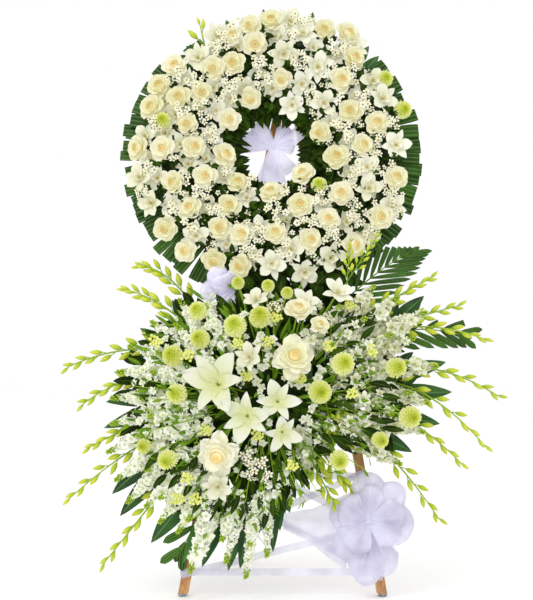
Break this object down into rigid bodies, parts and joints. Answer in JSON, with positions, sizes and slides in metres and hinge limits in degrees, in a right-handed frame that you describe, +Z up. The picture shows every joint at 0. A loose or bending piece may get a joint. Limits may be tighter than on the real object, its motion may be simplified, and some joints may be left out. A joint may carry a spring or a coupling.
{
  "type": "standing funeral spray",
  "caption": "Standing funeral spray: a round rose wreath above a radiating spray of lilies, flower spikes, buds and leaves, tied with sheer ribbon to a leaning wooden tripod easel",
  "frame": {"origin": "on the floor, under the middle of the whole arrangement's bounding box", "axes": "+X to the viewer's right, +Y to the back where the rear leg stands, +Z up"},
  "size_m": [1.1716, 0.7408, 1.5813],
  "materials": {
    "wood": "clear varnish",
    "steel": "bare",
    "tray_plastic": "matte",
    "floral_foam": "matte",
    "leaf": "satin",
    "cream_petal": "matte",
    "white_petal": "matte",
    "lime_petal": "matte",
    "bud": "satin",
    "organza": "sheer"
  },
  "bodies": {
    "root": {"leg_left": "wood", "leg_right": "wood", "leg_rear": "wood", "head_gusset": "wood", "rail_wreath_top": "wood", "rail_wreath_low": "wood", "rail_spray": "wood", "wreath_peg": "steel", "wreath_ledge": "steel", "glide_left": "steel", "glide_right": "steel", "glide_rear": "steel", "ribbon_level_top": "organza", "ribbon_level_low": "organza", "ribbon_rise_low": "organza", "ribbon_rise_high": "organza", "ribbon_fall_high": "organza", "ribbon_fall_low": "organza", "bow_large": "organza", "bow_in_hole": "organza", "bow_side": "organza", "blooms_high": "cream_petal", "blooms_left": "white_petal", "blooms_middle": "white_petal", "pompons_left": "lime_petal", "pompons_top": "lime_petal", "pompons_right": "lime_petal", "stocks_left_high": "white_petal", "stocks_left_low": "white_petal", "stocks_down_left": "white_petal", "stocks_down": "white_petal", "stocks_right_low": "white_petal", "stocks_right_high": "white_petal", "buds_left_high": "bud", "buds_left_low": "bud", "buds_right_high": "bud", "buds_right_low": "bud", "buds_down": "bud", "leaves_left": "leaf", "leaves_down": "leaf", "leaves_right": "leaf", "frond_right_high": "leaf", "frond_right": "leaf", "frond_left_low": "leaf", "wreath_blooms_1": "cream_petal", "wreath_blooms_2": "cream_petal", "wreath_blooms_3": "cream_petal", "wreath_blooms_4": "cream_petal", "wreath_blooms_5": "cream_petal", "wreath_blooms_6": "cream_petal", "wreath_leaves_1": "leaf", "wreath_leaves_2": "leaf", "wreath_leaves_3": "leaf", "wreath_leaves_4": "leaf", "wreath_leaves_5": "leaf", "wreath_leaves_6": "leaf", "wreath_foam": "floral_foam", "wreath_tray": "tray_plastic", "spray_foam": "floral_foam", "spray_tray": "tray_plastic"}
  },
  "joints": []
}
